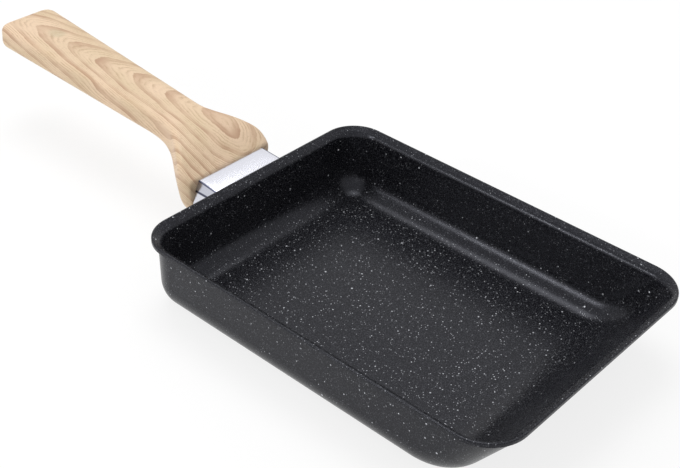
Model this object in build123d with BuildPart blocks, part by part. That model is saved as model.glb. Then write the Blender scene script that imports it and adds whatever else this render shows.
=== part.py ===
"""Rectangular rolled-omelette pan with a wood-look handle.

Frame: millimetres, +Z up, origin on the flat underside below the middle of the rim.
The grip leaves the near wall along -X, and the sloped end that food is turned over is at +X.
"""

from build123d import *
import os
from math import cos, radians, sin, tan

# Pan body: one pressed sheet, sizes over its outside
rim_length = 180.0
rim_width = 133.3
rim_height = 33.2
sheet = 1.9
near_draft = 0.8
side_draft = 1.8
far_draft = 35.5
corner_radius = 14.2
rim_near_radius = 15.9
rim_far_radius = 18.0
base_radius = 12.5
far_blend_radius = 30.0
lip_reach = 2.4
lip_angle = 35.0
lip_land = 0.85
bend_radius = 2.0
rim_edge_radius = 0.5

# Metal guard between the wall and the grip, sizes where the grip begins
guard_reach = 16.6
guard_top = 30.5
guard_height = 17.3
guard_top_half = 17.6
guard_shoulder_half = 20.6
guard_waist_half = 21.6
guard_shoulder_drop = 3.9
guard_waist_drop = 11.3
guard_low_half = 20.4
guard_low_drop = 14.3
guard_foot_half = 17.8
guard_taper = 4.5
guard_wall = 1.0
guard_crease_radius = 0.5
recess_depth = 3.0

# Bracket: a flange welded to the wall, with a tang that rises into the grip
flange_width = 28.0
flange_height = 11.0
flange_thickness = 2.5
flange_corner_radius = 3.0
tang_width = 14.0
tang_thickness = 5.0
tang_height = 21.2
tang_angle = 41.0
tang_knee_setback = 0.3
tang_knee_radius = 5.0
tang_length = 20.6
tang_corner_radius = 1.5

# Grip: corners of its plan and side outlines, lengths measured from its seat on the guard
grip_length = 144.4
grip_ear = 5.7
grip_ear_half = 21.0
grip_ear_top = 26.4
grip_lobe = 0.8
grip_lobe_half = 28.3
grip_lobe_radius = 9.0
grip_waist = 24.7
grip_waist_half = 11.8
grip_waist_radius = 22.0
grip_end_half = 15.8
grip_end_rise = 8.5
grip_end_thickness = 12.8
grip_shoulder = 13.4
grip_shoulder_height = 44.2
grip_shoulder_radius = 38.0
grip_throat = 24.3
grip_neck_thickness = 12.1
grip_throat_radius = 36.0
grip_heel = 3.3
grip_heel_height = 12.0
grip_heel_radius = 9.5
grip_corner_radius = 6.0
grip_top_radius = 3.6
grip_low_radius = 4.5

# Machine screw, driven from under the grip into the tang
screw_along = 12.6
screw_radius = 2.0
screw_head_radius = 3.9
screw_head_height = 2.4
screw_crown = 0.7
screw_tip = 0.8
screw_slot_width = 1.1
screw_slot_length = 4.4
screw_slot_depth = 1.3
washer_radius = 3.7
washer_thickness = 0.9
washer_split = 0.8
seat_web = 2.0

# Gaps between neighbours, and one overrun for every cut
wall_gap = 0.2
recess_clearance = 0.15
tang_clearance = 0.3
thread_clearance = 0.05
screw_clearance = 0.3
relief_depth = 0.8
overrun = 10.0


lip_slope = tan(radians(lip_angle))
lip_rise = lip_reach * lip_slope
edge_rise = sheet / cos(radians(lip_angle)) - lip_land * lip_slope
edge_height = rim_height - edge_rise
bend_height = edge_height - lip_rise


def near_face(height, inset=0):
    """X of the near wall at this height, set in from its outside by this much."""
    lean = (bend_height - height) * tan(radians(near_draft))
    return -rim_length / 2 + lip_reach + lean + inset / cos(radians(near_draft))


def far_face(height, inset=0):
    """X of the sloped far wall at this height."""
    lean = (bend_height - height) * tan(radians(far_draft))
    return rim_length / 2 - lip_reach - lean - inset / cos(radians(far_draft))


def side_face(height, inset=0):
    """Y of the left wall at this height."""
    lean = (bend_height - height) * tan(radians(side_draft))
    return rim_width / 2 - lip_reach - lean - inset / cos(radians(side_draft))


def pan_shape(inset, lip_height, lip_inset, rise):
    """Drafted form of the pan joined to its flared lip, inset from the outside of the sheet."""
    with BuildPart() as shape:
        with BuildSketch(Plane.XZ):
            with BuildLine():
                Polyline(
                    (near_face(inset, inset), inset),
                    (far_face(inset, inset), inset),
                    (far_face(lip_height, inset), lip_height),
                    (near_face(lip_height, inset), lip_height),
                    close=True,
                )
            make_face()
            fillet(vertices().group_by(Axis.Y)[0].sort_by(Axis.X)[-1], far_blend_radius - inset)
        extrude(amount=rim_width, both=True)
        with BuildSketch(Plane.YZ):
            with BuildLine():
                Polyline(
                    (-side_face(inset, inset), inset),
                    (side_face(inset, inset), inset),
                    (side_face(lip_height, inset), lip_height),
                    (-side_face(lip_height, inset), lip_height),
                    close=True,
                )
            make_face()
        extrude(amount=rim_length, both=True, mode=Mode.INTERSECT)
        uprights = faces().sort_by(Axis.X)[0].edges().filter_by(Axis.Y, reverse=True)
        fillet(uprights, corner_radius - inset)
        brim = edges().group_by(Axis.Z)[-1]
        corner_seams = edges().filter_by_position(Axis.X, -rim_length / 2, corner_radius - rim_length / 2)
        corner_seams = corner_seams.filter_by(lambda edge: edge.bounding_box().size.Z > lip_height / 2)
        far_seams = edges().filter_by(Axis.Y).filter_by_position(Axis.X, 0, rim_length / 2)
        fillet(edges() - brim - corner_seams - far_seams, base_radius - inset)
        with BuildSketch(Plane.XY.offset(lip_height)) as outline:
            Rectangle(rim_length - 2 * lip_inset, rim_width - 2 * lip_inset)
            fillet(vertices().group_by(Axis.X)[0], rim_near_radius - lip_inset)
            fillet(vertices().group_by(Axis.X)[-1], rim_far_radius - lip_inset)
        extrude(outline.sketch, amount=-(lip_rise + sheet), taper=90 - lip_angle)
        extrude(outline.sketch, amount=rise)
        bends = edges().filter_by(lambda edge: edge.bounding_box().min.Z > bend_height - lip_rise)
        bends = bends.filter_by(lambda edge: edge.bounding_box().max.Z < lip_height - lip_rise / 4)
        fillet(bends, bend_radius + inset)
    return shape.part


# One pressed sheet: the outside form less the inside form, with a narrow flat land on the lip
outside = pan_shape(0, edge_height, 0, edge_rise)
inside = pan_shape(sheet, rim_height, lip_land, overrun)
with BuildPart() as pan_body:
    add(outside)
    add(inside, mode=Mode.SUBTRACT)
    fillet(faces().sort_by(Axis.Z)[-1].outer_wire().edges(), rim_edge_radius)

# Planes of the outside of the near wall and of the tang, both looking away from the pan
wall_plane = Plane(
    origin=(near_face(guard_top), 0, guard_top),
    x_dir=(0, 1, 0),
    z_dir=(-cos(radians(near_draft)), 0, -sin(radians(near_draft))),
)
seat_x = near_face(bend_height) - guard_reach
knee_x = seat_x - tang_knee_setback
tang_run = cos(radians(tang_angle))
tang_climb = sin(radians(tang_angle))
screw_plane = Plane(
    origin=(knee_x - screw_along * tang_run, 0, tang_height + screw_along * tang_climb),
    x_dir=(0, 1, 0),
    z_dir=(-tang_climb, 0, -tang_run),
)
seat_height = tang_thickness / 2 + tang_clearance + seat_web
relief_height = tang_thickness / 2 + tang_clearance + relief_depth


def tang_shape(clearance):
    """Bent tang from inside the flange to its tip, grown by the clearance."""
    start_x = near_face(tang_height) - flange_thickness / 2
    reach = tang_length + clearance
    with BuildPart() as shape:
        with BuildLine() as path:
            FilletPolyline(
                (start_x, 0, tang_height),
                (knee_x, 0, tang_height),
                (knee_x - reach * tang_run, 0, tang_height + reach * tang_climb),
                radius=tang_knee_radius,
            )
        with BuildSketch(Plane(origin=(start_x, 0, tang_height), x_dir=(0, 1, 0), z_dir=(-1, 0, 0))):
            Rectangle(tang_width + 2 * clearance, tang_thickness + 2 * clearance)
        sweep(path=path.line)
        tip_corners = faces().sort_by(Axis.X)[0].edges().filter_by(Axis.Y, reverse=True)
        fillet(tip_corners, tang_corner_radius)
    return shape.part


def guard_shape(growth, depth):
    """Eight-sided collar that narrows from the grip towards the wall, with its straight tail."""
    with BuildPart() as shape:
        with BuildSketch(Plane(origin=(seat_x, 0, 0), x_dir=(0, 1, 0), z_dir=(1, 0, 0))) as section:
            with BuildLine():
                Polyline(
                    (guard_top_half, guard_top),
                    (guard_shoulder_half, guard_top - guard_shoulder_drop),
                    (guard_waist_half, guard_top - guard_waist_drop),
                    (guard_low_half, guard_top - guard_low_drop),
                    (guard_foot_half, guard_top - guard_height),
                    (-guard_foot_half, guard_top - guard_height),
                    (-guard_low_half, guard_top - guard_low_drop),
                    (-guard_waist_half, guard_top - guard_waist_drop),
                    (-guard_shoulder_half, guard_top - guard_shoulder_drop),
                    (-guard_top_half, guard_top),
                    close=True,
                )
            make_face()
            offset(amount=growth, kind=Kind.INTERSECTION)
        extrude(section.sketch, amount=guard_reach + overrun, taper=guard_taper)
        extrude(section.sketch, amount=-depth)
    return shape.part


# Bracket: welded flange and bent tang with a tapped hole
tang = tang_shape(0)
with BuildPart() as handle_bracket:
    with BuildSketch(wall_plane):
        with Locations((0, guard_height / 2)):
            RectangleRounded(flange_width, flange_height, flange_corner_radius)
    extrude(amount=flange_thickness)
    add(tang)
    with BuildSketch(screw_plane.offset(-tang_thickness)):
        Circle(screw_radius + thread_clearance)
    extrude(amount=2 * tang_thickness, mode=Mode.SUBTRACT)

# Guard: thin hollow collar, closed towards the grip except for the tang's window
guard_outside = guard_shape(0, recess_depth)
guard_inside = guard_shape(-guard_wall, recess_depth - guard_wall)
tang_window = tang_shape(tang_clearance)
with BuildPart() as flame_guard:
    add(guard_outside)
    fillet(edges().filter_by(Axis.Z, reverse=True), guard_crease_radius)
    add(guard_inside, mode=Mode.SUBTRACT)
    add(tang_window, mode=Mode.SUBTRACT)
    split(bisect_by=wall_plane.offset(wall_gap))


# Grip: its plan outline crossed with its side outline, then rounded and cut for what it holds
ear_x = seat_x + grip_ear
lobe_x = seat_x - grip_lobe
waist_x = seat_x - grip_waist
shoulder_x = seat_x - grip_shoulder
throat_x = seat_x - grip_throat
heel_x = seat_x - grip_heel
end_x = seat_x - grip_length
throat_height = grip_shoulder_height - grip_neck_thickness
end_top = grip_shoulder_height + grip_end_rise
end_foot = end_top - grip_end_thickness
guard_recess = guard_shape(recess_clearance, recess_depth)
with BuildPart() as handle_grip:
    with BuildSketch():
        with BuildLine():
            Polyline(
                (ear_x, grip_ear_half),
                (lobe_x, grip_lobe_half),
                (waist_x, grip_waist_half),
                (end_x, grip_end_half),
                (end_x, -grip_end_half),
                (waist_x, -grip_waist_half),
                (lobe_x, -grip_lobe_half),
                (ear_x, -grip_ear_half),
                close=True,
            )
        make_face()
        fillet(vertices().group_by(Axis.X)[-2], grip_lobe_radius)
        fillet(vertices().group_by(Axis.X)[1], grip_waist_radius)
    extrude(amount=end_top + end_foot)
    with BuildSketch(Plane.XZ.offset(-grip_lobe_half)):
        with BuildLine():
            Polyline(
                (ear_x, grip_ear_top),
                (shoulder_x, grip_shoulder_height),
                (end_x, end_top),
                (end_x, end_foot),
                (throat_x, throat_height),
                (heel_x, grip_heel_height),
                (ear_x, grip_heel_height),
                close=True,
            )
        make_face()
        fillet(vertices().sort_by_distance((shoulder_x, grip_shoulder_height))[0], grip_shoulder_radius)
        fillet(vertices().sort_by_distance((throat_x, throat_height))[0], grip_throat_radius)
        fillet(vertices().sort_by_distance((heel_x, grip_heel_height))[0], grip_heel_radius)
    extrude(amount=2 * grip_lobe_half, mode=Mode.INTERSECT)
    fillet(edges().filter_by(Axis.Z), grip_corner_radius)
    underside = faces().filter_by(lambda face: face.normal_at().Z < 0).sort_by(SortBy.AREA)[-1]
    fillet(underside.edges(), grip_low_radius)
    upper_side = faces().filter_by(lambda face: face.normal_at().Z > 0).sort_by(SortBy.AREA)[-1]
    fillet(upper_side.edges(), grip_top_radius)
    with BuildSketch():
        with Locations((seat_x, 0)):
            Rectangle(overrun, 2 * (guard_waist_half + recess_clearance), align=(Align.MIN, Align.CENTER))
    extrude(amount=end_top, mode=Mode.SUBTRACT)
    add(guard_recess, mode=Mode.SUBTRACT)
    add(tang_window, mode=Mode.SUBTRACT)
    with BuildSketch(screw_plane.offset(-relief_height)):
        Circle(screw_radius + screw_clearance)
    extrude(amount=relief_height + seat_height + overrun, mode=Mode.SUBTRACT)
    with BuildSketch(screw_plane.offset(seat_height)):
        Circle(screw_head_radius + screw_clearance)
    extrude(amount=overrun, mode=Mode.SUBTRACT)

# Screw from its bevelled head to its chamfered tip inside the relief past the tang
with BuildPart() as grip_screw:
    with BuildSketch(screw_plane.offset(seat_height + washer_thickness)):
        Circle(screw_head_radius)
    extrude(amount=screw_head_height)
    crown_edge = faces().sort_by(Axis.Z)[0].edges()
    chamfer(crown_edge, screw_crown)
    with BuildSketch(screw_plane.offset(seat_height + washer_thickness + screw_head_height)):
        Rectangle(screw_slot_length, screw_slot_width)
        Rectangle(screw_slot_width, screw_slot_length)
    extrude(amount=-screw_slot_depth, mode=Mode.SUBTRACT)
    with BuildSketch(screw_plane.offset(seat_height + washer_thickness)):
        Circle(screw_radius)
    extrude(amount=-(seat_height + washer_thickness + tang_thickness / 2 + screw_tip))
    tip_edge = faces().sort_by(Axis.Z)[-1].edges()
    chamfer(tip_edge, screw_tip / 2)

# Split spring washer under the head
with BuildPart() as spring_washer:
    with BuildSketch(screw_plane.offset(seat_height)):
        Circle(washer_radius)
        Circle(screw_radius + screw_clearance, mode=Mode.SUBTRACT)
        Rectangle(washer_radius + overrun, washer_split, align=(Align.MIN, Align.CENTER), mode=Mode.SUBTRACT)
    extrude(amount=washer_thickness)

pan_body.part.label = "pan_body"
handle_bracket.part.label = "handle_bracket"
flame_guard.part.label = "flame_guard"
handle_grip.part.label = "handle_grip"
grip_screw.part.label = "grip_screw"
spring_washer.part.label = "spring_washer"

os.makedirs("parts", exist_ok=True)
export_step(pan_body.part, "parts/pan_body.step")
export_step(handle_bracket.part, "parts/handle_bracket.step")
export_step(flame_guard.part, "parts/flame_guard.step")
export_step(handle_grip.part, "parts/handle_grip.step")
export_step(grip_screw.part, "parts/grip_screw.step")
export_step(spring_washer.part, "parts/spring_washer.step")
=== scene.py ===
"""Looks, light and camera for the rolled-omelette pan. Metres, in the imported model's frame.

The sizes of the grip and the collar are named in millimetres, and MM turns them into metres.
"""

import math

import bmesh
import bpy
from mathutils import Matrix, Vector

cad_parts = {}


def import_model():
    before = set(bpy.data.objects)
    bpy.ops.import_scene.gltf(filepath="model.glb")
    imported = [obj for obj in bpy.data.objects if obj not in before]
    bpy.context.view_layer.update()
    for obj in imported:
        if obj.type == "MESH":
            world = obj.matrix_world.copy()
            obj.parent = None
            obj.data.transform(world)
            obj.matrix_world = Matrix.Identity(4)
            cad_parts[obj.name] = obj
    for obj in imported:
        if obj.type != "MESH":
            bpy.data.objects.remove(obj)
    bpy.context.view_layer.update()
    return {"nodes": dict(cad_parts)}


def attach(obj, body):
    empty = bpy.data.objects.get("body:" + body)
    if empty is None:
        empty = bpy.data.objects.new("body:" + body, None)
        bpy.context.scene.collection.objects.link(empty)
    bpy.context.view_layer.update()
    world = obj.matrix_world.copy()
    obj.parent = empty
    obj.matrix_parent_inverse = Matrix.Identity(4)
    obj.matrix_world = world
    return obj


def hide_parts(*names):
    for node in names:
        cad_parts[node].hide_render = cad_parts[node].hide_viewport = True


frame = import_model()
nodes = frame["nodes"]

MM = 0.001
ACROSS = Vector((0.0, 1.0, 0.0))
UP = Vector((0.0, 0.0, 1.0))

# Grip: its tilted frame, whose origin is the seat on the collar
SEAT = Vector((-102.9, 0.0, 31.8))
GRIP_TILT = math.radians(3.7)
ARM = Vector((-math.cos(GRIP_TILT), 0.0, math.sin(GRIP_TILT)))
RISE = Vector((math.sin(GRIP_TILT), 0.0, math.cos(GRIP_TILT)))

# Grip: outlines as (distance from the seat, half width or height), and the rounds of their corners
GRIP_LENGTH = 146.2
BAR_TOP = 11.4
BAR_FOOT = -0.5
SKIRT_FOOT = -19.4
HALF_WIDTHS = ((0.0, 24.2), (5.5, 26.1), (26.6, 11.6), (GRIP_LENGTH, 15.9))
WIDTH_ROUNDS = (0.0, 9.0, 22.0, 0.0)
TOPS = ((0.0, 0.9), (15.5, BAR_TOP), (GRIP_LENGTH, BAR_TOP))
TOP_ROUNDS = (0.0, 38.0, 0.0)
FEET = ((0.0, SKIRT_FOOT), (7.6, SKIRT_FOOT), (25.6, BAR_FOOT), (GRIP_LENGTH, BAR_FOOT))
FOOT_ROUNDS = (0.0, 8.0, 36.0, 0.0)

# Grip: rounds of its long edges, its end and its front, and the draw-in of the skirt's half width,
# which is this many millimetres for each square millimetre of depth below the seat
UPPER_ROUND = 3.4
LOWER_ROUND = 4.0
END_ROUND = 6.0
FRONT_ROUND = 1.0
SKIRT_TUCK = 0.0125

# Grip: where its sections lie, and how finely they are divided
FRONT_ANGLES = (0.0, 0.4, 0.8, 1.2)
ROOT_STEP = 0.8
ROOT_SECTIONS = 56
BAR_START = 48.0
BAR_STEP = 4.0
BAR_SECTIONS = 23
END_ANGLE = math.radians(5.0)
END_SECTIONS = 19
EDGE_STEPS = 7
SIDE_STEPS = 8

# Hollows of the grip: the bent tang's pocket, measured from its knee, then the screw's hole and the
# wider hole for its head, measured along the screw from the tang's middle
KNEE = Vector((-104.5, 0.0, 21.2))
TANG_SLOPE = math.radians(41.0)
TANG_WAY = Vector((-math.cos(TANG_SLOPE), 0.0, math.sin(TANG_SLOPE)))
TANG_UP = Vector((TANG_WAY.z, 0.0, -TANG_WAY.x))
POCKET_HALF_HEIGHT = 3.2
POCKET_HALF_WIDTH = 7.4
POCKET_START = 6.0
POCKET_REACH = 21.2
SCREW_REACH = 12.6
SCREW_POINT = KNEE + TANG_WAY * SCREW_REACH
SCREW_HOLE_TOP = 3.6
SCREW_HOLE_RADIUS = 2.3
HEAD_SEAT = 4.8
HEAD_HOLE_RADIUS = 4.2
HEAD_HOLE_FOOT = 20.0
HOLE_SIDES = 48

# Collar: right half of its section at the grip, from the top edge down, as (half width, height)
COLLAR_TOP = (19.4, 31.8)
COLLAR_SHOULDER = (21.2, 27.1)
COLLAR_WAIST = (22.6, 19.4)
COLLAR_FOOT = ((21.4, 16.2), (18.6, 13.2))
COLLAR_LEAN = (COLLAR_SHOULDER[0] - COLLAR_TOP[0]) / (COLLAR_TOP[1] - COLLAR_SHOULDER[1])
COLLAR_SLOPE = math.tan(math.radians(4.0))
COLLAR_SHEET = 1.0
COLLAR_ROUND = 0.5
COLLAR_INNER_ROUND = 0.1
COLLAR_ROUND_STEPS = 5
COLLAR_SIDE_STEPS = 8
COLLAR_LONG_SIDE = 1.0

# Where the collar ends: the outside of the pan's near wall, which bends into the lip, how far each
# leans per millimetre of height, and the gaps kept to them and to the grip's seat
WALL_X = -87.6
BEND_Z = 29.8
WALL_LEAN = 0.014
WALL_GAP = 0.35
LIP_LEAN = 1.428
LIP_GAP = 0.6
SEAT_GAP = 0.05

# Edges that turn more than this stay sharp in the shading
SHARP_ANGLE = math.radians(38.0)

# Floor and world, in metres and as shares of full white
FLOOR_HALF = 6.0
FLOOR_DROP = 0.2 * MM
FLOOR_WHITE = (0.95, 0.95, 0.95)
FLOOR_GLOW_SHARE = 0.80
WORLD_WHITE = (1.0, 1.0, 1.0)
WORLD_LIGHT_SHARE = 0.62

# Camera of the photograph: metres, degrees, and millimetres for its sensor and lens
CAMERA_PLACE = (0.24243, -0.33420, 0.33685)
CAMERA_TURN = (54.535, -2.409, 41.735)
CAMERA_SENSOR = 36.0
CAMERA_LENS = 68.05
CAMERA_NEAR = 0.01
PAN_MIDDLE = (0.0, 0.0, 0.02)


# Shapes


def rounded(points, radii, steps=10, closed=False):
    """The line with its corners rounded to these radii, and its two ends left as they are if it is open."""
    count = len(points)
    line = []
    for index, (point, radius) in enumerate(zip(points, radii)):
        here = Vector(point)
        if not closed and index in (0, count - 1):
            line.append(here)
            continue
        before = (Vector(points[index - 1]) - here).normalized()
        after = (Vector(points[(index + 1) % count]) - here).normalized()
        half = before.angle(after) / 2
        centre = here + (before + after).normalized() * (radius / math.sin(half))
        first = here + before * (radius / math.tan(half)) - centre
        last = here + after * (radius / math.tan(half)) - centre
        start = math.atan2(first.y, first.x)
        turn = math.atan2(first.x * last.y - first.y * last.x, first.dot(last))
        for step in range(steps + 1):
            angle = start + turn * step / steps
            line.append(centre + radius * Vector((math.cos(angle), math.sin(angle))))
    return line


def level(line, at):
    """Height of a line, whose first coordinate rises, at this first coordinate."""
    for left, right in zip(line, line[1:]):
        if at <= right.x:
            return left.y + (right.y - left.y) * (at - left.x) / (right.x - left.x)
    return line[-1].y


def skin(name, rings, hollow=False):
    """Piece through rings of equally many points in mm, capped, or closed on itself if hollow."""
    count = len(rings[0])
    pairs = list(zip(range(len(rings)), range(1, len(rings))))
    if hollow:
        pairs.append((len(rings) - 1, 0))
    faces = []
    for a, b in pairs:
        for i in range(count):
            j = (i + 1) % count
            faces.append((a * count + i, a * count + j, b * count + j, b * count + i))
    if not hollow:
        faces.append(tuple(range(count)))
        faces.append(tuple(range((len(rings) - 1) * count, len(rings) * count)))
    data = bpy.data.meshes.new(name)
    data.from_pydata([tuple(Vector(point) * MM) for ring in rings for point in ring], [], faces)
    shape = bmesh.new()
    shape.from_mesh(data)
    bmesh.ops.recalc_face_normals(shape, faces=shape.faces)
    shape.to_mesh(data)
    shape.free()
    piece = bpy.data.objects.new(name, data)
    bpy.context.scene.collection.objects.link(piece)
    return piece


def cut(piece, cutter):
    """Takes the cutter's volume out of the piece and removes the cutter."""
    modifier = piece.modifiers.new("cut", "BOOLEAN")
    modifier.operation = "DIFFERENCE"
    modifier.solver = "EXACT"
    modifier.object = cutter
    graph = bpy.context.evaluated_depsgraph_get()
    piece.data = bpy.data.meshes.new_from_object(piece.evaluated_get(graph))
    piece.modifiers.clear()
    bpy.data.objects.remove(cutter)


def finish_piece(piece, material, node):
    """Smooth shading with sharp corners kept, the material, and what the piece stands for."""
    piece.data.shade_smooth()
    piece.data.set_sharp_from_angle(angle=SHARP_ANGLE)
    piece.data.materials.clear()
    piece.data.materials.append(material)
    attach(piece, "root")
    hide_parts(node)


def grip_section(widths, tops, feet, at, inset):
    """Rounded section of the grip at this distance from its seat, with its end corners rounded too."""
    width = level(widths, at) - inset
    top = level(tops, at) - inset
    foot = level(feet, at) + inset
    left = GRIP_LENGTH - at

    def half_width(depth):
        """Half width this far in from the side, less what the end's corner round takes off there."""
        if left >= END_ROUND:
            return width - depth
        rest = max((END_ROUND - depth) ** 2 - (END_ROUND - left) ** 2, 0.0)
        return width - END_ROUND + math.sqrt(rest)

    def edge(radius):
        """Points round an edge from the side to the face, as (half width, distance from the face)."""
        last = math.acos(max(1.0 - left / radius, 0.0))
        angles = [last * step / EDGE_STEPS for step in range(EDGE_STEPS + 1)]
        return [(half_width(radius * (1 - math.cos(a))), radius * (1 - math.sin(a))) for a in angles]

    upper = [(y, top - drop) for y, drop in edge(UPPER_ROUND)]
    lower = [(y, foot + drop) for y, drop in edge(LOWER_ROUND)]
    (side, low), (_, high) = lower[0], upper[0]
    flank = [(side, low + (high - low) * k / SIDE_STEPS) for k in range(1, SIDE_STEPS)]
    right = lower[::-1] + flank + upper
    loop = [(right[0][0] * share, right[0][1]) for share in (-0.5, 0.0, 0.5)]
    loop += right
    loop += [(right[-1][0] * share, right[-1][1]) for share in (0.5, 0.0, -0.5)]
    loop += [(-y, height) for y, height in right[::-1]]
    points = []
    for y, height in loop:
        tuck = SKIRT_TUCK * min(height, 0.0) ** 2
        points.append(SEAT + ARM * at + ACROSS * (y * (1 - tuck / width)) + RISE * height)
    return points


def grip_body():
    """Grip with its fishtail root, rounded at both ends and not hollowed yet."""
    widths = rounded(HALF_WIDTHS, WIDTH_ROUNDS)
    tops = rounded(TOPS, TOP_ROUNDS)
    feet = rounded(FEET, FOOT_ROUNDS)
    stations = [(FRONT_ROUND * (1 - math.cos(a)), FRONT_ROUND * (1 - math.sin(a))) for a in FRONT_ANGLES]
    stations += [(FRONT_ROUND + ROOT_STEP * k, 0.0) for k in range(ROOT_SECTIONS)]
    stations += [(BAR_START + BAR_STEP * k, 0.0) for k in range(BAR_SECTIONS)]
    bends = [math.sin(END_ANGLE * k) for k in range(END_SECTIONS)]
    stations += [(GRIP_LENGTH - END_ROUND * (1 - bend), 0.0) for bend in bends]
    return skin("grip_wood", [grip_section(widths, tops, feet, at, inset) for at, inset in stations])


def tang_hole():
    """Cutter for the bent tang's pocket, mitred at the knee."""
    outline = []
    for way in (1, -1):
        half = way * POCKET_HALF_HEIGHT
        start = KNEE + Vector((POCKET_START, 0.0, half))
        corner = KNEE + (TANG_UP + UP) * (half / (1 + TANG_UP.z))
        end = KNEE + TANG_WAY * POCKET_REACH + TANG_UP * half
        outline += (start, corner, end)[::way]
    sides = (-POCKET_HALF_WIDTH, POCKET_HALF_WIDTH)
    return skin("tang_hole", [[point + ACROSS * y for point in outline] for y in sides])


def screw_hole():
    """Cutter for the screw's hole and the wider hole that its head goes in by, from below."""
    steps = (
        (-SCREW_HOLE_TOP, SCREW_HOLE_RADIUS),
        (HEAD_SEAT, SCREW_HOLE_RADIUS),
        (HEAD_SEAT, HEAD_HOLE_RADIUS),
        (HEAD_HOLE_FOOT, HEAD_HOLE_RADIUS),
    )
    turns = [math.tau * k / HOLE_SIDES for k in range(HOLE_SIDES)]
    rings = []
    for out, radius in steps:
        centre = SCREW_POINT - TANG_UP * out
        rings.append([centre + radius * (math.cos(t) * TANG_WAY + math.sin(t) * ACROSS) for t in turns])
    return skin("screw_hole", rings)


def grip():
    """Grip hollowed for the tang and the screw."""
    piece = grip_body()
    cut(piece, tang_hole())
    cut(piece, screw_hole())
    return piece


def collar_section(drop, inset):
    """Closed outline of the collar, its top this much lower, set in from its outside, long sides divided."""
    top = (COLLAR_TOP[0] + drop * COLLAR_LEAN, COLLAR_TOP[1] - drop)
    right = [top, COLLAR_SHOULDER, COLLAR_WAIST, *COLLAR_FOOT]
    corners = [Vector(point) for point in right + [(-y, z) for y, z in right[::-1]]]
    count = len(corners)
    moved = []
    for i, here in enumerate(corners):
        before = (here - corners[i - 1]).normalized()
        after = (corners[(i + 1) % count] - here).normalized()
        inward = Vector((before.y, -before.x)) + Vector((after.y, -after.x))
        moved.append(here + inward * (2 * inset / inward.length_squared))
    radius = COLLAR_INNER_ROUND if inset else COLLAR_ROUND
    loop = rounded(moved, [radius] * count, steps=COLLAR_ROUND_STEPS, closed=True)
    points = []
    for here, after in zip(loop, loop[1:] + loop[:1]):
        parts = COLLAR_SIDE_STEPS if (after - here).length > COLLAR_LONG_SIDE else 1
        points += [here.lerp(after, k / parts) for k in range(parts)]
    return points


def collar_ring(at_wall, inset):
    """One ring of points of the collar, at the grip or at the pan, set in from its outside."""
    if not at_wall:
        tilt = math.tan(GRIP_TILT)
        return [(SEAT.x - (SEAT.z - z) * tilt + SEAT_GAP, y, z) for y, z in collar_section(0.0, inset)]
    ring = []
    for y, z in collar_section((WALL_X - SEAT.x) * COLLAR_SLOPE, inset):
        wall = WALL_X + (BEND_Z - z) * WALL_LEAN - WALL_GAP
        lip = WALL_X + (BEND_Z - z) * LIP_LEAN - LIP_GAP
        ring.append((min(wall, lip), y, z))
    return ring


def collar():
    """Pressed metal collar between the grip and the pan."""
    rings = [collar_ring(False, 0.0), collar_ring(True, 0.0)]
    rings += [collar_ring(True, COLLAR_SHEET), collar_ring(False, COLLAR_SHEET)]
    return skin("guard_collar", rings, hollow=True)


# Materials


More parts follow.
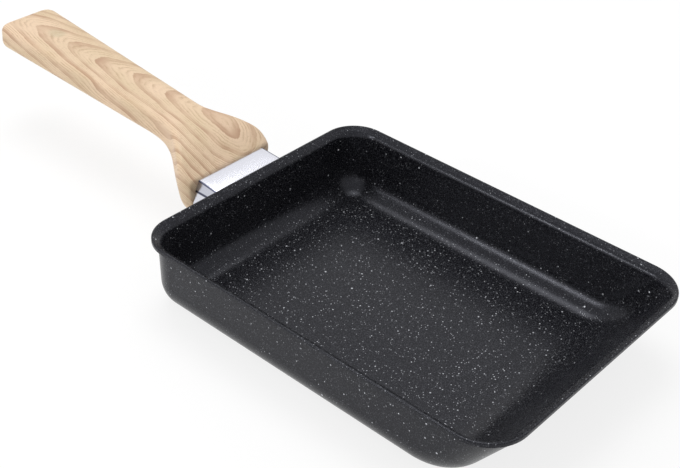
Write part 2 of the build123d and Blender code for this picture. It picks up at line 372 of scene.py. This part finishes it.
class Shader:
    """A node material on one Principled shader, built with short calls."""

    def __init__(self, name):
        self.material = bpy.data.materials.new(name)
        self.material.use_nodes = True
        self.tree = self.material.node_tree
        self.principled = self.tree.nodes["Principled BSDF"]
        coordinates = self.tree.nodes.new("ShaderNodeTexCoord")
        self.point = coordinates.outputs["Object"]
        self.normal = coordinates.outputs["Normal"]

    def put(self, value, socket):
        """Links a socket or sets a plain value."""
        if isinstance(value, bpy.types.NodeSocket):
            self.tree.links.new(value, socket)
        elif isinstance(value, tuple) and socket.type == "RGBA":
            socket.default_value = (*value, 1.0)
        else:
            socket.default_value = value

    def set(self, **sockets):
        """Sets sockets of the Principled shader, with _ for a space in their names."""
        for name, value in sockets.items():
            self.put(value, self.principled.inputs[name.replace("_", " ")])

    def math(self, operation, *values):
        """Result of a calculation with numbers."""
        node = self.tree.nodes.new("ShaderNodeMath")
        node.operation = operation
        for value, socket in zip(values, node.inputs):
            self.put(value, socket)
        return node.outputs[0]

    def vector(self, operation, *values):
        """Result of a calculation with vectors: a length or a dot product is a number."""
        node = self.tree.nodes.new("ShaderNodeVectorMath")
        node.operation = operation
        for value, socket in zip(values, node.inputs):
            self.put(value, socket)
        return node.outputs["Value" if operation in ("LENGTH", "DOT_PRODUCT") else "Vector"]

    def split(self, vector):
        """The three numbers of a vector or colour."""
        node = self.tree.nodes.new("ShaderNodeSeparateXYZ")
        self.put(vector, node.inputs[0])
        return node.outputs["X"], node.outputs["Y"], node.outputs["Z"]

    def join(self, x, y, z):
        """The vector of three numbers."""
        node = self.tree.nodes.new("ShaderNodeCombineXYZ")
        for value, socket in zip((x, y, z), node.inputs):
            self.put(value, socket)
        return node.outputs[0]

    def scaled(self, factors):
        """The point, stretched by a factor along each axis."""
        return self.vector("MULTIPLY", self.point, factors)

    def noise(self, vector, scale, detail=2.0, roughness=0.5):
        """Noise from 0 to 1 with this many features per metre."""
        node = self.tree.nodes.new("ShaderNodeTexNoise")
        self.put(vector, node.inputs["Vector"])
        node.inputs["Scale"].default_value = scale
        node.inputs["Detail"].default_value = detail
        node.inputs["Roughness"].default_value = roughness
        return node.outputs["Fac"]

    def swing(self, value, middle, width):
        """A value about its middle, stretched to this width."""
        return self.math("MULTIPLY", self.math("SUBTRACT", value, middle), width)

    def span(self, value, low, high, out_low=0.0, out_high=1.0, smooth=True):
        """Maps low..high of a value to out_low..out_high, held at both ends."""
        node = self.tree.nodes.new("ShaderNodeMapRange")
        node.interpolation_type = "SMOOTHSTEP" if smooth else "LINEAR"
        for number, socket in zip((value, low, high, out_low, out_high), node.inputs):
            self.put(number, socket)
        return node.outputs[0]

    def mix(self, factor, first, second):
        """The first colour where the factor is 0, the second where it is 1."""
        node = self.tree.nodes.new("ShaderNodeMix")
        node.data_type = "RGBA"
        self.put(factor, node.inputs["Factor"])
        self.put(first, node.inputs[6])
        self.put(second, node.inputs[7])
        return node.outputs[2]

    def bump(self, height, strength, distance):
        """Raises the surface by a height, through the shader's normal."""
        node = self.tree.nodes.new("ShaderNodeBump")
        node.inputs["Strength"].default_value = strength
        node.inputs["Distance"].default_value = distance
        self.put(height, node.inputs["Height"])
        self.put(node.outputs[0], self.principled.inputs["Normal"])

    def dots(self, cell, small, large, share, dim, bright):
        """Random specks of small to large radius: one per cell of this width, in a share of the cells."""
        solid_share = 0.6
        node = self.tree.nodes.new("ShaderNodeTexVoronoi")
        self.put(self.point, node.inputs["Vector"])
        node.inputs["Scale"].default_value = 1.0 / cell
        node.inputs["Randomness"].default_value = 1.0
        size_draw, share_draw, bright_draw = self.split(node.outputs["Color"])
        radius = self.span(size_draw, 0.0, 1.0, small / cell, large / cell, smooth=False)
        solid_part = self.math("MULTIPLY", radius, solid_share)
        speck = self.span(node.outputs["Distance"], solid_part, radius, 1.0, 0.0)
        present = self.math("LESS_THAN", share_draw, share)
        brightness = self.span(bright_draw, 0.0, 1.0, dim, bright, smooth=False)
        return self.math("MULTIPLY", self.math("MULTIPLY", speck, present), brightness)


def coat():
    """Black stone-look non-stick coat: fine grain, three sizes of pale specks, the finest painted brighter
    on the floor as painted light.
    """
    black, blue_black = (0.0035, 0.0035, 0.0048), (0.0060, 0.0060, 0.0080)
    grey_grain, pale_speck = (0.050, 0.052, 0.060), (0.88, 0.90, 0.96)
    speck_relief = 0.4
    s = Shader("stone_coat")
    up = s.split(s.normal)[2]
    height = s.split(s.point)[2]
    # Painted light: the fine specks are real, but they are painted brighter on the up-facing floor near the
    # base, where the light falls, and dimmer elsewhere.
    flat = s.span(up, low=0.80, high=0.98)
    near_base = s.span(height, low=8 * MM, high=3 * MM)
    painted_light_floor_share = s.math("MULTIPLY", flat, near_base)
    large = s.dots(cell=5.0 * MM, small=0.26 * MM, large=0.52 * MM, share=0.66, dim=0.35, bright=1.0)
    medium = s.dots(cell=2.4 * MM, small=0.18 * MM, large=0.36 * MM, share=0.72, dim=0.14, bright=0.80)
    fine = s.dots(cell=0.95 * MM, small=0.12 * MM, large=0.27 * MM, share=0.80, dim=0.06, bright=0.60)
    fine = s.math("MULTIPLY", fine, s.span(painted_light_floor_share, 0.0, 1.0, out_low=0.45, out_high=1.0))
    specks = s.math("MAXIMUM", s.math("MAXIMUM", large, medium), fine)
    clouds = s.noise(s.point, scale=45.0, detail=3.0, roughness=0.6)
    grain = s.noise(s.point, scale=2000.0, detail=2.0, roughness=0.75)
    dark = s.mix(clouds, black, blue_black)
    ground = s.mix(s.span(grain, low=0.50, high=0.72), dark, grey_grain)
    s.set(
        Base_Color=s.mix(specks, ground, pale_speck),
        Roughness=s.span(grain, low=0.3, high=0.8, out_low=0.20, out_high=0.38),
        Specular_IOR_Level=0.26,
        Specular_Tint=(0.86, 0.88, 1.0),
    )
    relief = s.math("ADD", grain, s.math("MULTIPLY", specks, speck_relief))
    s.bump(relief, strength=0.55, distance=0.07 * MM)
    return s.material


def growth_layers(s, stretched):
    """Place of each point among the tree's growth layers, as a length along the grip.

    The layers are long cones about a heart line above the grip, which starts beside its middle at the
    root, so they meet the surface in arches.
    """
    heart_side, heart_drift, heart_height = 11.5 * MM, 0.10, 13 * MM
    tip_radius, depth_stretch, arch_stretch, first_layer = 11 * MM, 1.3, 5.6, 6.6 * MM
    place = s.vector("SUBTRACT", s.point, tuple(SEAT * MM))
    reach = s.vector("DOT_PRODUCT", place, tuple(ARM))
    height = s.vector("DOT_PRODUCT", place, tuple(RISE))
    across = s.split(s.point)[1]
    sway = s.swing(s.noise(stretched, scale=20.0, roughness=0.45), 0.5, 5 * MM)
    shift = s.swing(s.noise(stretched, scale=30.0, roughness=0.45), 0.5, 17 * MM)
    jitter = s.swing(s.noise(s.scaled((1.0, 5.0, 5.0)), scale=210.0, roughness=0.6), 0.62, 2.4 * MM)
    heart = s.math("SUBTRACT", heart_side, s.math("MULTIPLY", reach, heart_drift))
    side = s.math("ADD", s.math("SUBTRACT", across, heart), sway)
    depth = s.swing(height, heart_height, depth_stretch)
    spread = s.math("ADD", s.math("POWER", side, 2.0), s.math("POWER", depth, 2.0))
    spread = s.math("SQRT", s.math("ADD", spread, tip_radius**2))
    drop = s.math("MULTIPLY", spread, arch_stretch)
    growth = s.math("ADD", s.math("ADD", reach, drop), s.math("ADD", shift, jitter))
    return s.math("SUBTRACT", growth, first_layer)


def wood():
    """Pale wood grain: long arches whose tips point to the grip's end, as on a board cut off centre."""
    pale, warm, knot_green = (0.660, 0.510, 0.335), (0.745, 0.560, 0.395), (0.46, 0.42, 0.27)
    fine_brown, band_brown, fleck_brown = (0.44, 0.285, 0.165), (0.43, 0.255, 0.158), (0.37, 0.235, 0.14)
    knot_reach, knot_side = 121.5, 1.2
    s = Shader("wood_look")
    stretched = s.scaled((1.0, 2.6, 2.6))
    growth = growth_layers(s, stretched)

    def lines(period, start, full, end):
        """One line a period across the growth: it darkens from start to full and fades out from end."""
        share = s.math("FRACT", s.math("DIVIDE", growth, period))
        fade = s.span(share, low=end, high=1.0, out_low=1.0, out_high=0.0)
        return s.math("MULTIPLY", s.span(share, low=start, high=full), fade)

    patches = s.span(s.noise(stretched, scale=50.0), low=0.32, high=0.68, out_low=0.30)
    band = s.math("MULTIPLY", lines(21 * MM, start=0.45, full=0.95, end=0.96), patches)
    patches = s.span(s.noise(stretched, scale=95.0), low=0.38, high=0.66, out_low=0.15)
    fine = s.math("MULTIPLY", lines(4.2 * MM, start=0.35, full=0.88, end=0.90), patches)
    flecks = s.noise(s.scaled((1.0, 6.0, 6.0)), scale=420.0, detail=3.0, roughness=0.65)
    flecks = s.span(flecks, low=0.56, high=0.70)
    blotch = s.noise(s.scaled((1.0, 1.8, 1.8)), scale=36.0, detail=3.0)
    knot_place = (SEAT + ARM * knot_reach + RISE * BAR_TOP + ACROSS * knot_side) * MM
    knot = s.vector("LENGTH", s.vector("SUBTRACT", s.point, tuple(knot_place)))
    knot = s.span(knot, low=2.0 * MM, high=6.0 * MM, out_low=0.45, out_high=0.0)
    colour = s.mix(s.span(blotch, low=0.32, high=0.68), pale, warm)
    colour = s.mix(knot, colour, knot_green)
    stains = ((fine, 0.60, fine_brown), (band, 0.85, band_brown), (flecks, 0.42, fleck_brown))
    for marks, strength, brown in stains:
        colour = s.mix(s.math("MULTIPLY", marks, strength), colour, brown)
    s.set(
        Base_Color=colour,
        Roughness=s.span(blotch, low=0.3, high=0.7, out_low=0.42, out_high=0.52),
        Specular_IOR_Level=0.35,
    )
    s.bump(s.math("ADD", fine, flecks), strength=0.10, distance=0.05 * MM)
    return s.material


def polished():
    """Bright polished collar with fine scratches along it, painted dark reflections along its creases and a
    painted greyer reflection on its bevel.
    """
    bright, painted_bevel_reflection_grey, painted_crease_reflection_dark = (0.69, 0.695, 0.755), (0.55, 0.56, 0.63), (0.075, 0.08, 0.12)
    s = Shader("polished_guard")
    along, across, height = s.split(s.point)
    side = s.math("ABSOLUTE", across)
    up = s.split(s.normal)[2]
    drop = s.math("MULTIPLY", s.math("SUBTRACT", along, SEAT.x * MM), COLLAR_SLOPE)
    top_side = s.math("ADD", s.math("MULTIPLY", drop, COLLAR_LEAN), COLLAR_TOP[0] * MM)
    top_height = s.math("SUBTRACT", COLLAR_TOP[1] * MM, drop)
    edges = [(top_side, top_height)] + [(y * MM, z * MM) for y, z in (COLLAR_SHOULDER, COLLAR_WAIST)]
    # Painted dark reflection: a dark line is painted along each crease of the collar.
    painted_crease_reflection = 0.0
    for edge_side, edge_height in edges:
        gap = s.join(s.math("SUBTRACT", side, edge_side), s.math("SUBTRACT", height, edge_height), 0.0)
        line = s.span(s.vector("LENGTH", gap), low=0.30 * MM, high=0.75 * MM, out_low=1.0, out_high=0.0)
        painted_crease_reflection = s.math("MAXIMUM", painted_crease_reflection, line)
    # Painted reflection: the bevel facet, picked by how far its normal points up, is painted greyer than the
    # rest of the collar.
    painted_bevel_reflection_top = s.span(up, low=0.50, high=0.62, out_low=1.0, out_high=0.0)
    painted_bevel_reflection = s.math("MULTIPLY", s.span(up, low=0.24, high=0.32), painted_bevel_reflection_top)
    scratches = s.noise(s.scaled((0.35, 9.0, 9.0)), scale=900.0, detail=3.0, roughness=0.6)
    s.set(
        Base_Color=s.mix(painted_crease_reflection, s.mix(painted_bevel_reflection, bright, painted_bevel_reflection_grey), painted_crease_reflection_dark),
        Metallic=1.0,
        Roughness=s.span(scratches, low=0.3, high=0.7, out_low=0.16, out_high=0.26),
    )
    s.bump(scratches, strength=0.05, distance=0.02 * MM)
    return s.material


def bare_metal(name, colour, roughness, stretch=(6.0, 6.0, 6.0)):
    """Plain metal with drawn or rolled marks, longest where it is stretched least, and a little tarnish."""
    dull_share, roughness_range = 0.62, 0.14
    s = Shader(name)
    marks = s.noise(s.scaled(stretch), scale=700.0, detail=3.0, roughness=0.6)
    tarnish = s.noise(s.point, scale=160.0, detail=3.0, roughness=0.6)
    dull = tuple(dull_share * channel for channel in colour)
    s.set(
        Base_Color=s.mix(s.span(tarnish, low=0.35, high=0.8, out_low=0.0, out_high=0.6), colour, dull),
        Metallic=1.0,
        Roughness=s.span(marks, 0.3, 0.7, out_low=roughness, out_high=roughness + roughness_range),
    )
    s.bump(marks, strength=0.08, distance=0.03 * MM)
    return s.material


def dress(node, material):
    """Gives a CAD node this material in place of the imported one."""
    data = nodes[node].data
    data.materials.clear()
    data.materials.append(material)


dress("pan_body", coat())
finish_piece(grip(), wood(), "handle_grip")
finish_piece(collar(), polished(), "flame_guard")
dress("handle_bracket", bare_metal("bracket_alloy", (0.62, 0.62, 0.63), 0.38, stretch=(0.3, 6.0, 6.0)))
dress("grip_screw", bare_metal("screw_steel", (0.58, 0.58, 0.60), 0.28))
dress("spring_washer", bare_metal("washer_steel", (0.52, 0.52, 0.54), 0.32))


# Floor and light


def seen(tree):
    """1 for what the camera sees, straight or mirrored, and 0 for light on its way."""
    path = tree.nodes.new("ShaderNodeLightPath")
    either = tree.nodes.new("ShaderNodeMath")
    either.operation = "MAXIMUM"
    tree.links.new(path.outputs["Is Camera Ray"], either.inputs[0])
    tree.links.new(path.outputs["Is Glossy Ray"], either.inputs[1])
    return either.outputs[0]


def floor():
    """Plain white floor that shows white to the camera and still takes the shadow."""
    data = bpy.data.meshes.new("floor")
    signs = ((-1, -1), (1, -1), (1, 1), (-1, 1))
    data.from_pydata([(x * FLOOR_HALF, y * FLOOR_HALF, 0) for x, y in signs], [], [(0, 1, 2, 3)])
    plane = bpy.data.objects.new("floor", data)
    plane.location.z = -FLOOR_DROP
    bpy.context.scene.collection.objects.link(plane)
    material = bpy.data.materials.new("floor_white")
    material.use_nodes = True
    tree = material.node_tree
    tree.nodes.clear()
    output = tree.nodes.new("ShaderNodeOutputMaterial")
    glow = tree.nodes.new("ShaderNodeEmission")
    matt = tree.nodes.new("ShaderNodeBsdfDiffuse")
    matt.inputs["Color"].default_value = (*FLOOR_WHITE, 1.0)
    share = tree.nodes.new("ShaderNodeMath")
    share.operation = "MULTIPLY"
    share.inputs[1].default_value = FLOOR_GLOW_SHARE
    tree.links.new(seen(tree), share.inputs[0])
    mixed = tree.nodes.new("ShaderNodeMixShader")
    tree.links.new(share.outputs[0], mixed.inputs[0])
    tree.links.new(matt.outputs[0], mixed.inputs[1])
    tree.links.new(glow.outputs[0], mixed.inputs[2])
    tree.links.new(mixed.outputs[0], output.inputs["Surface"])
    data.materials.append(material)


def world():
    """White to the camera and in reflections, softer as light."""
    sky = bpy.data.worlds.new("studio")
    bpy.context.scene.world = sky
    sky.use_nodes = True
    tree = sky.node_tree
    background = tree.nodes["Background"]
    background.inputs["Color"].default_value = (*WORLD_WHITE, 1.0)
    strength = tree.nodes.new("ShaderNodeMapRange")
    strength.inputs["To Min"].default_value = WORLD_LIGHT_SHARE
    strength.inputs["To Max"].default_value = 1.0
    tree.links.new(seen(tree), strength.inputs["Value"])
    tree.links.new(strength.outputs[0], background.inputs["Strength"])


def lamp(name, place, size, power):
    """A square soft box that faces the pan."""
    data = bpy.data.lights.new(name, "AREA")
    data.size = size
    data.energy = power
    box = bpy.data.objects.new(name, data)
    bpy.context.scene.collection.objects.link(box)
    box.location = place
    away = box.location - Vector(PAN_MIDDLE)
    box.rotation_euler = away.to_track_quat("Z", "Y").to_euler()


floor()
world()
lamp("key_box", place=(-0.35, 0.25, 1.30), size=0.75, power=8.5)
lamp("front_box", place=(0.55, -1.20, 0.75), size=0.60, power=0.8)
lamp("lip_box", place=(-0.50, -1.00, 0.60), size=0.12, power=3.2)


# Camera

camera = bpy.data.cameras.new("photo_camera")
camera.sensor_width = CAMERA_SENSOR
camera.lens = CAMERA_LENS
camera.clip_start = CAMERA_NEAR
viewer = bpy.data.objects.new("photo_camera", camera)
bpy.context.scene.collection.objects.link(viewer)
viewer.location = CAMERA_PLACE
viewer.rotation_euler = tuple(math.radians(angle) for angle in CAMERA_TURN)
bpy.context.scene.camera = viewer
bpy.context.scene.view_settings.view_transform = "Standard"
